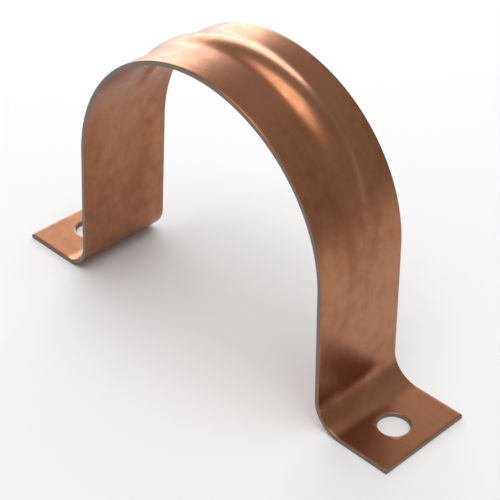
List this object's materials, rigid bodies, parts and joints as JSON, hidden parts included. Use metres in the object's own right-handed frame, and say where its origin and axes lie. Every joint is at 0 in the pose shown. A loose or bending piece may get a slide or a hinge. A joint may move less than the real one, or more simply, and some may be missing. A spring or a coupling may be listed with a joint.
{
  "type": "two-hole pipe strap",
  "caption": "Arched sheet-metal strap that holds a round tube against a wall, with a stiffening bead pressed along its arch and a screw hole in each flat foot.",
  "frame": {"origin": "on the wall face, midway between the feet and midway across the strip's width", "axes": "+X from one foot to the other, +Y along the tube, +Z away from the wall, towards the arch's crown"},
  "size_m": [0.0876, 0.019, 0.0543],
  "materials": {
    "copper_coated_strip": "thin steel strip with a satin copper coat, slightly tarnished, bare grey on its sheared edges"
  },
  "bodies": {
    "root": {"strap": "copper_coated_strip"}
  },
  "joints": []
}
